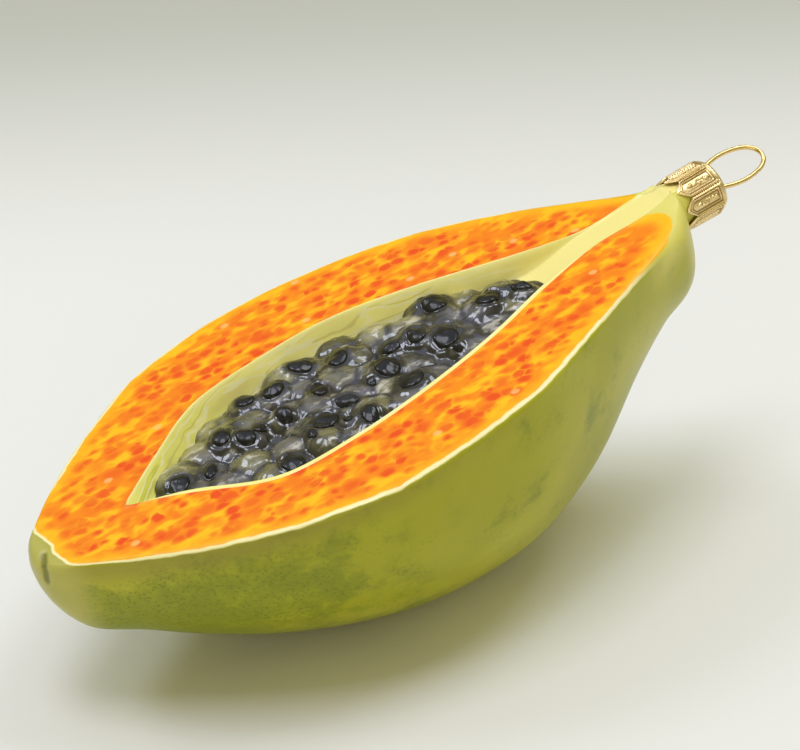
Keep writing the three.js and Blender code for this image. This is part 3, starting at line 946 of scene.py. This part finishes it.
def centripetal(points, count):
    # A Catmull-Rom curve whose knots are the square roots of the distances between its points
    ends = np.concatenate([[2 * points[0] - points[1]], points, [2 * points[-1] - points[-2]]])
    steps = np.linalg.norm(np.diff(ends, axis=0), axis=1) ** 0.5
    knots = np.concatenate([[0], np.cumsum(steps)])
    t = np.linspace(knots[1], knots[-2] - 1e-9, count)
    i = np.clip(np.searchsorted(knots, t, side="right") - 1, 1, len(points) - 1)
    p0, p1, p2, p3 = ends[i - 1], ends[i], ends[i + 1], ends[i + 2]
    t0, t1, t2, t3 = (knots[i + k][:, None] for k in (-1, 0, 1, 2))
    t = t[:, None]
    a1 = (t1 - t) / (t1 - t0) * p0 + (t - t0) / (t1 - t0) * p1
    a2 = (t2 - t) / (t2 - t1) * p1 + (t - t1) / (t2 - t1) * p2
    a3 = (t3 - t) / (t3 - t2) * p2 + (t - t2) / (t3 - t2) * p3
    b1 = (t2 - t) / (t2 - t0) * a1 + (t - t0) / (t2 - t0) * a2
    b2 = (t3 - t) / (t3 - t1) * a2 + (t - t1) / (t3 - t1) * a3
    return (t2 - t) / (t2 - t1) * b1 + (t - t1) / (t2 - t1) * b2


def buildWire():
    # Circles of the wire's radius across the path, in the plane of its normal and the loop's
    # normal; the tool marks are rows of short dents along two stretches
    shape = wireShape
    path = centripetal(wirePath(), shape["steps"])
    tangent = np.gradient(path, axis=0)
    tangent /= np.linalg.norm(tangent, axis=1, keepdims=True)
    turn = shape["loopTurn"]
    level = np.array([math.sin(turn), math.cos(turn), 0])
    side = np.cross(tangent, level)
    angle = 2 * np.pi * np.arange(shape["sides"]) / shape["sides"]
    along = np.linspace(0, 1, shape["steps"])
    fade = shape["markFade"]
    marked = sum(smoothStep(low - fade, low, along) * smoothStep(high + fade, high, along)
                 for low, high in shape["marks"])
    teeth = marked * (0.5 + 0.5 * np.cos(along * 2 * np.pi * shape["teeth"]))
    outerSide = np.clip(np.cos(angle), 0, 1)
    radius = shape["radius"] * (shape["skin"] - shape["toothDepth"] * teeth[:, None] * outerSide)
    ring = np.cos(angle)[None, :, None] * side[:, None] + np.sin(angle)[None, :, None] * level
    grid = path[:, None] + radius[..., None] * ring
    piece = tubePiece("giltWire", [fromNeck(grid)])
    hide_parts("hanger")
    return piece


cap = buildCap()
wire = buildWire()
print("stage 6: cap and wire built")

# Paint colours, linear
paintColours = {
    "orange": (0.95, 0.280, 0.003),
    "yellow": (0.99, 0.540, 0.006),
    "red": (0.85, 0.078, 0.004),
    "redSoft": (0.90, 0.160, 0.003),
    "fleck": (0.98, 0.55, 0.18),
    "creamLine": (0.95, 0.88, 0.45),
    "cavityPale": (1.0, 0.94, 0.34),
    "cavityGreen": (0.84, 0.86, 0.09),
    "cavityLine": (1.0, 0.96, 0.55),
    "lip": (0.94, 0.88, 0.32),
    "cavityShade": (0.70, 0.56, 0.24),
    "cavityBrown": (0.46, 0.40, 0.09),
    "channel": (0.90, 0.80, 0.28),
    "rind": (0.395, 0.395, 0.010),
    "rindPale": (0.49, 0.48, 0.030),
    "rindDark": (0.15, 0.20, 0.004),
    "neckPaintedLight": (0.84, 0.76, 0.20),
    "tip": (0.50, 0.47, 0.115),
    "grooveOlive": (0.17, 0.17, 0.02),
    "rimBrown": (0.26, 0.22, 0.035),
}
# Where along the fruit each paint starts and where it is full, in millimetres; lowRind is in height
paintPlaces = {
    "spotsEnd": [123.0, 113.0],
    "neckBlur": [108.0, 121.0],
    "blossom": [62.0, 4.0],
    "lowRind": [-0.5, -9.0],
    "neckHighlight": [112.0, 124.0],
    "neck": [126.0, 132.0],
    "rimBand": [100.0, 20.0],
    "tip": [3.0, -2.0],
    "green": [52.0, 22.0],
    "wallStart": [30.0, 50.0],
    "wallEnd": [100.0, 70.0],
    "channel": [92.0, 104.0],
    "darkLines": [104.0, 84.0],
    "paleLines": [108.0, 88.0],
    "creamEnd": [122.0, 108.0],
    "creamNarrow": [12.0, 3.0],
}


def paintOrange(tree, point, inside):
    # Orange with yellow streaks and soft red clouds, then red spots in cells of two sizes, each
    # sized by its cell's own draw and faded at the edge and the neck, and a few pale flecks
    colours, places = paintColours, paintPlaces
    warped = shift(tree, point, noiseNode(tree, point, 0.42, 2.0, 0.5, "Color"), 1.3)
    cloud = noiseNode(tree, stretch(tree, point, 0.6, 1.0, 1.0), 0.075, 2.5)
    edgeFade = ease(tree, inside, 0.4, 3.6, 0.15, 1.0)
    clouded = times(tree, ease(tree, cloud, 0.34, 0.58, 0.62, 1.0), edgeFade)
    spotPoint = stretch(tree, warped, 0.74, 1.0, 1.0)

    def spots(scale, least, spread, soft):
        distance = cellNode(tree, spotPoint, scale, flat=True)
        pick = cellNode(tree, spotPoint, scale, "Color", flat=True)
        parts = addNode(tree, "ShaderNodeSeparateColor", {}, {0: pick}).outputs
        size = maths(tree, "MULTIPLY_ADD", parts[0], spread, least)
        mask = ease(tree, maths(tree, "SUBTRACT", distance, size), soft, -soft)
        return times(tree, mask, ease(tree, parts[1], 0.0, 0.5, 0.35, 1.0))

    small = spots(0.40, 0.18, 0.30, 0.22)
    large = spots(0.24, 0.06, 0.34, 0.26)
    spot = maths(tree, "MAXIMUM", small, times(tree, large, 0.8))
    x = splitAxes(tree, point)[0]
    beforeNeck = ease(tree, x, *places["spotsEnd"], 0.15, 1.0)
    spot = times(tree, times(tree, spot, clouded), beforeNeck)
    streak = noiseNode(tree, stretch(tree, warped, 0.42, 1.0, 1.0), 0.36, 2.0)
    base = blend(tree, ease(tree, streak, 0.44, 0.60), colours["orange"], colours["yellow"])
    blur = noiseNode(tree, stretch(tree, warped, 0.5, 1.0, 1.0), 0.20, 2.0)
    base = blend(tree, ease(tree, blur, 0.48, 0.70, 0.0, 0.55), base, colours["redSoft"])
    base = blend(tree, ease(tree, inside, 3.4, 0.3, 0.0, 0.7), base, colours["yellow"])
    neckBlur = times(tree, ease(tree, x, *places["neckBlur"]), ease(tree, inside, 4.6, 1.6))
    base = blend(tree, times(tree, neckBlur, 0.8), base, colours["yellow"])
    painted = blend(tree, spot, base, colours["red"])
    fleckPoint = cellNode(tree, stretch(tree, point, 0.8, 1, 1), 0.07, flat=True)
    fleck = ease(tree, fleckPoint, 0.06, 0.03, 0.0, 0.7)
    return blend(tree, fleck, painted, colours["fleck"])


def paintRind(tree, point, inside):
    # Olive with slow pale clouds and dark shading, speckles and mottle that crowd low at the
    # blossom end, a painted highlight on the shoulder and painted light on the neck, a brown band
    # under the rim and the olive blossom groove
    colours, places = paintColours, paintPlaces
    axes = splitAxes(tree, point)
    slow = noiseNode(tree, stretch(tree, point, 0.4, 1, 1), 0.05, 3.0)
    base = blend(tree, ease(tree, slow, 0.40, 0.68), colours["rind"], colours["rindPale"])
    blossom = ease(tree, axes[0], *places["blossom"])
    low = ease(tree, axes[2], *places["lowRind"])
    jumbled = shift(tree, point, noiseNode(tree, point, 0.9, 2, 0.5, "Color"), 0.9)
    speckle = cellNode(tree, jumbled, 1.2)
    mottle = noiseNode(tree, stretch(tree, point, 0.8, 1, 1), 1.1, 3.0, 0.6)
    mottle = ease(tree, mottle, 0.46, 0.66)
    crowd = noiseNode(tree, point, 0.13, 3.0, 0.6)
    amount = maths(tree, "MULTIPLY_ADD", times(tree, blossom, low), 0.42, crowd)
    amount = ease(tree, amount, 0.42, 0.86)
    dots = times(tree, ease(tree, speckle, 0.46, 0.20), amount)
    mottled = times(tree, mottle, times(tree, amount, 0.5))
    dots = maths(tree, "MAXIMUM", dots, mottled)
    shade = noiseNode(tree, point, 0.10, 4.0, 0.6)
    dark = maths(tree, "MULTIPLY_ADD", amount, 0.4, shade)
    base = blend(tree, ease(tree, dark, 0.55, 0.95, 0.0, 0.55), base, colours["rindDark"])
    base = blend(tree, times(tree, dots, 0.65), base, colours["rindDark"])
    # Painted highlight: the shoulder beside the orange is paler, most of all near the orange's edge
    glow = times(tree, ease(tree, axes[0], *places["neckHighlight"]), ease(tree, inside, -9.0, -1.5))
    base = blend(tree, times(tree, glow, 0.8), base, colours["neckPaintedLight"])
    # Painted light: the neck just under the cap is paler
    neck = ease(tree, axes[0], *places["neck"])
    base = blend(tree, times(tree, neck, 0.6), base, colours["neckPaintedLight"])
    band = times(tree, ease(tree, inside, -7.0, -2.0), ease(tree, axes[0], *places["rimBand"]))
    base = blend(tree, times(tree, band, 0.55), base, colours["rimBrown"])
    tip = ease(tree, axes[0], *places["tip"])
    base = blend(tree, times(tree, tip, 0.85), base, colours["tip"])
    groove = readAttribute(tree, "groove")
    return blend(tree, ease(tree, groove, 0.15, 0.85, 0.0, 0.85), base, colours["grooveOlive"])


def paintCavity(tree, point, inside):
    # Pale yellow with green towards the blossom end, broad shade and fine brushed lines along the
    # walls, the paler channel, and a bright line at the lip
    colours, places = paintColours, paintPlaces
    x = splitAxes(tree, point)[0]
    brush = addNode(tree, "ShaderNodeCombineXYZ", {}, {0: x, 1: inside, 2: 0.0}).outputs[0]
    warped = shift(tree, brush, noiseNode(tree, point, 0.10, 2, 0.5, "Color"), 1.1)
    strokes = noiseNode(tree, stretch(tree, warped, 0.08, 1.5, 1.0), 0.62, 2.5)
    green = ease(tree, x, *places["green"], 0.0, 0.8)
    green = times(tree, green, ease(tree, strokes, 0.36, 0.6, 0.5, 1.0))
    base = blend(tree, green, colours["cavityPale"], colours["cavityGreen"])
    onWall = times(tree, ease(tree, x, *places["wallEnd"]), ease(tree, x, *places["wallStart"]))
    broad = noiseNode(tree, stretch(tree, warped, 0.06, 1.2, 1.0), 0.42, 2.0)
    shade = times(tree, ease(tree, broad, 0.50, 0.66, 0.0, 0.4), onWall)
    base = blend(tree, shade, base, colours["cavityShade"])
    base = blend(tree, ease(tree, x, *places["channel"]), base, colours["channel"])

    def lines(noise, middle, outer, inner, strength, place):
        # A line where the noise passes its middle value
        away = maths(tree, "ABSOLUTE", maths(tree, "SUBTRACT", noise, middle))
        line = ease(tree, away, outer, inner, 0.0, strength)
        return times(tree, line, ease(tree, x, *places[place]))

    darkLine = lines(broad, 0.46, 0.020, 0.004, 0.35, "darkLines")
    base = blend(tree, darkLine, base, colours["cavityBrown"])
    paleLine = lines(strokes, 0.5, 0.034, 0.010, 0.95, "paleLines")
    base = blend(tree, paleLine, base, colours["cavityLine"])
    return blend(tree, ease(tree, inside, 0.75, 0.25, 0.0, 0.8), base, colours["lip"])


def paintFruit():
    # Cavity paint inside the lip, orange inside its own outline, a cream line round it, then rind
    material, tree, shader = startMaterial("paintedGlass", {
        "Specular IOR Level": 0.25, "Coat Weight": 0.12, "Coat Roughness": 0.16,
    })
    point = readAttribute(tree, "fruitPoint", "Vector")
    cavityInside = readAttribute(tree, "cavityInside")
    orangeInside = readAttribute(tree, "orangeInside")
    waver = noiseNode(tree, point, 0.30, 2.0)
    edge = maths(tree, "MULTIPLY_ADD", maths(tree, "SUBTRACT", waver, 0.5), 0.9, orangeInside)
    rind = paintRind(tree, point, edge)
    x = splitAxes(tree, point)[0]
    towardsNeck = ease(tree, x, *paintPlaces["creamEnd"])
    narrow = ease(tree, x, *paintPlaces["creamNarrow"], 0.0, 0.8)
    narrowed = maths(tree, "MULTIPLY_ADD", narrow, edge, edge)
    line = times(tree, ease(tree, narrowed, -1.4, -0.8), towardsNeck)
    cream = blend(tree, line, rind, paintColours["creamLine"])
    orange = paintOrange(tree, point, orangeInside)
    colour = blend(tree, ease(tree, edge, -0.25, 0.15), cream, orange)
    cavity = paintCavity(tree, point, cavityInside)
    inCavity = ease(tree, cavityInside, -0.06, 0.06)
    feed(tree, shader.inputs["Base Color"], blend(tree, inCavity, colour, cavity))
    roughness = maths(tree, "MULTIPLY_ADD", inCavity, -0.16, 0.34)
    feed(tree, shader.inputs["Roughness"], roughness)
    fine = noiseNode(tree, point, 1.4, 3.0)
    feed(tree, shader.inputs["Normal"], bumpNode(tree, fine, 0.06, 0.0004))
    return material


# Seed colours, linear
seedColours = {
    "green": (0.165, 0.155, 0.070),
    "violet": (0.105, 0.100, 0.118),
    "farGreen": (0.360, 0.335, 0.150),
    "pearlAndHighlight": (0.78, 0.73, 0.62),
    "dark": (0.014, 0.014, 0.015),
    "gap": (0.012, 0.012, 0.014),
    "black": (0.003, 0.003, 0.003),
    "blackSheen": (0.014, 0.015, 0.017),
}


def paintPulp():
    # Each dome has its own tone between green and violet grey, greener towards the far wall, with
    # dark clouds and pearl wisps that are partly milky glaze and partly painted highlights, painted
    # shade at each dome's edge and in the gaps between domes, and darker round the black seeds
    material, tree, shader = startMaterial("seedPulpGlaze", {
        "Specular IOR Level": 0.5, "Coat Weight": 0.8, "Coat Roughness": 0.05,
    })
    point = readAttribute(tree, "fruitPoint", "Vector")
    tone, edge, gap, ring, farShare = (
        readAttribute(tree, name) for name in ("tone", "edge", "gap", "ring", "farShare"))
    mixed = blend(tree, ease(tree, tone, -0.6, 0.6), seedColours["green"], seedColours["violet"])
    atFar = ease(tree, farShare, 0.35, 0.80, 0.0, 0.75)
    mixed = blend(tree, atFar, mixed, seedColours["farGreen"])
    warped = shift(tree, point, noiseNode(tree, point, 0.35, 2, 0.5, "Color"), 2.4)
    wispsAndHighlights = noiseNode(tree, stretch(tree, warped, 0.5, 1.0, 1.0), 0.42, 3.0, 0.6)
    cloud = noiseNode(tree, warped, 0.16, 2.0)
    mixed = blend(tree, ease(tree, cloud, 0.56, 0.36, 0.0, 0.85), mixed, seedColours["dark"])
    # Pearl wisps: partly milky swirls of the glaze, partly painted highlights
    mixed = blend(tree, ease(tree, wispsAndHighlights, 0.52, 0.70, 0.0, 0.6), mixed, seedColours["pearlAndHighlight"])
    # Painted shade: darker towards each dome's edge and in the gaps where the domes meet
    mixed = blend(tree, ease(tree, edge, 0.40, 0.95, 0.0, 0.8), mixed, seedColours["dark"])
    mixed = blend(tree, ease(tree, gap, 0.94, 0.76, 0.0, 0.95), mixed, seedColours["gap"])
    mixed = blend(tree, ease(tree, ring, 1.60, 1.05), mixed, seedColours["black"])
    feed(tree, shader.inputs["Base Color"], mixed)
    feed(tree, shader.inputs["Roughness"], ease(tree, wispsAndHighlights, 0.3, 0.7, 0.12, 0.34))
    return material


def paintSeeds():
    # Near black, with a faint sheen where a fine noise plus a little of the seed's tone is high
    material, tree, shader = startMaterial("blackSeedGlaze", {
        "Specular IOR Level": 0.25, "Coat Weight": 0.25, "Coat Roughness": 0.06,
    })
    tone = readAttribute(tree, "seedTone")
    coordinates = addNode(tree, "ShaderNodeTexCoord", {}, {}).outputs["Object"]
    mottle = noiseNode(tree, coordinates, 700.0, 3.0)
    sheen = ease(tree, maths(tree, "MULTIPLY_ADD", tone, 0.10, mottle), 0.45, 0.75)
    mixed = blend(tree, sheen, seedColours["black"], seedColours["blackSheen"])
    feed(tree, shader.inputs["Base Color"], mixed)
    feed(tree, shader.inputs["Roughness"], ease(tree, mottle, 0.3, 0.7, 0.20, 0.38))
    return material


# Gilt colours, linear
giltColours = {
    "light": (0.92, 0.73, 0.38),
    "deep": (0.78, 0.55, 0.24),
    "tarnish": (0.28, 0.16, 0.04),
    "wire": (0.86, 0.64, 0.27),
}


def paintGilt(name, colour, deep, roughness, scale, marked):
    # Metal whose tone and gloss drift with noise; on the cap the hollows of the relief are browner
    material, tree, shader = startMaterial(name, {"Metallic": 1.0})
    coordinates = addNode(tree, "ShaderNodeTexCoord", {}, {}).outputs["Object"]
    slow = noiseNode(tree, coordinates, scale, 3.0)
    fine = noiseNode(tree, coordinates, 5 * scale, 2.0)
    mixed = blend(tree, ease(tree, slow, 0.42, 0.72, 0.0, 0.7), colour, deep)
    if marked:
        hollow = ease(tree, readAttribute(tree, "raised"), 0.85, 0.10, 0.0, 0.85)
        mixed = blend(tree, hollow, mixed, giltColours["tarnish"])
    feed(tree, shader.inputs["Base Color"], mixed)
    gloss = ease(tree, fine, 0.3, 0.7, roughness - 0.05, roughness + 0.08)
    feed(tree, shader.inputs["Roughness"], gloss)
    return material


fruit.data.materials.append(paintFruit())
pulp.data.materials.append(paintPulp())
seeds.data.materials.append(paintSeeds())
cap.data.materials.append(
    paintGilt("giltCapMetal", giltColours["light"], giltColours["deep"], 0.30, 220.0, True))
wire.data.materials.append(
    paintGilt("giltWireMetal", giltColours["wire"], giltColours["deep"], 0.24, 200.0, False))
print("stage 7: materials made")

# The floor, soft lights and the surrounding glow
studio = {
    "floorHalf": 4.0,
    "floorColour": (0.82, 0.82, 0.80),
    "farShadeColour": (0.515, 0.52, 0.465),
    "worldColour": (1.0, 0.915, 0.50),
    "worldStrength": 0.40,
    "floorRoughness": 0.75,
    "awayAlong": (0.5145, 0.8575),
    "farFade": [0.12, 0.35],
    "aimHeight": 0.02,
    "lights": [
        ["keyLight", (-0.20, 0.00, 1.15), 0.50, 4.2, (0.86, 0.86, 1.0)],
        ["rightLight", (0.60, 0.00, 1.15), 0.50, 3.7, (0.84, 0.91, 1.0)],
        ["backLight", (-0.60, 0.75, 1.15), 0.50, 3.7, (0.84, 0.91, 1.0)],
        ["skyLight", (-0.10, 0.40, 1.30), 1.60, 4.6, (0.52, 0.60, 1.0)],
        ["fillLight", (-0.60, -1.20, 0.60), 0.90, 2.6, (1.0, 0.93, 0.70)],
    ],
}


def buildStudio():
    # The floor darkens by a smooth step away from the camera, which is painted shade; each light
    # aims at the fruit
    half = studio["floorHalf"]
    corners = [(-half, -half, 0), (half, -half, 0), (half, half, 0), (-half, half, 0)]
    mesh = bpy.data.meshes.new("studioFloor")
    mesh.from_pydata(corners, [], [(0, 1, 2, 3)])
    floor = bpy.data.objects.new("studioFloor", mesh)
    bpy.context.scene.collection.objects.link(floor)
    floor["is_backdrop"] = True
    settings = {"Roughness": studio["floorRoughness"]}
    material, tree, shader = startMaterial("studioFloorPaint", settings)
    coordinates = addNode(tree, "ShaderNodeTexCoord", {}, {}).outputs["Object"]
    axes, (alongX, alongY) = splitAxes(tree, coordinates), studio["awayAlong"]
    away = maths(tree, "MULTIPLY_ADD", axes[0], alongX, times(tree, axes[1], alongY))
    # Painted shade: the far floor is darker
    far = ease(tree, away, *studio["farFade"])
    painted = blend(tree, far, studio["floorColour"], studio["farShadeColour"])
    feed(tree, shader.inputs["Base Color"], painted)
    floor.data.materials.append(material)
    for name, place, size, power, colour in studio["lights"]:
        light = bpy.data.lights.new(name, "AREA")
        light.shape = "DISK"
        light.size, light.energy, light.color = size, power, colour
        lamp = bpy.data.objects.new(name, light)
        lamp.location = place
        aim = np.array([0, 0, studio["aimHeight"]]) - np.array(place)
        flat = math.hypot(aim[0], aim[1])
        lamp.rotation_euler = (math.atan2(flat, -aim[2]), 0, math.atan2(-aim[0], aim[1]))
        bpy.context.scene.collection.objects.link(lamp)
    world = bpy.data.worlds.new("studioGlow")
    world.use_nodes = True
    background = world.node_tree.nodes["Background"]
    background.inputs[0].default_value = (*studio["worldColour"], 1)
    background.inputs[1].default_value = studio["worldStrength"]
    bpy.context.scene.world = world
    bpy.context.scene.view_settings.view_transform = "Standard"


buildStudio()
print("stage 8: studio lit")

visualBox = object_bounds()
boxes = {"cad": cadBox, "visual": visualBox}
{key: [list(corner) for corner in value] for key, value in boxes.items()}
